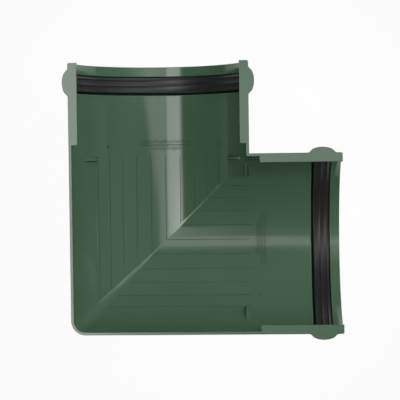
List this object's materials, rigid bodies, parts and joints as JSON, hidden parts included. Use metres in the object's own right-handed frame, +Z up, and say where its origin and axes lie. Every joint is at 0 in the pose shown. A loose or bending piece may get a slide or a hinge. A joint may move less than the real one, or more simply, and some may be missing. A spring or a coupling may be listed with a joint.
{
  "type": "gutter corner",
  "caption": "Half-round gutter corner: a mitred plastic channel with a rounded outer corner, whose lipped sockets and rubber seals join gutter lengths at a right angle.",
  "frame": {"origin": "middle of the bounding box, level with the lowest point of the seal housings", "axes": "+Z up out of the open channel, +X and +Y along the arms towards their sockets"},
  "size_m": [0.2008, 0.2008, 0.0692],
  "materials": {
    "body": "moulded gloss, dark green",
    "seal": "extruded black rubber"
  },
  "bodies": {
    "root": {"corner_body": "body", "seal_x": "seal", "seal_y": "seal"}
  },
  "joints": []
}
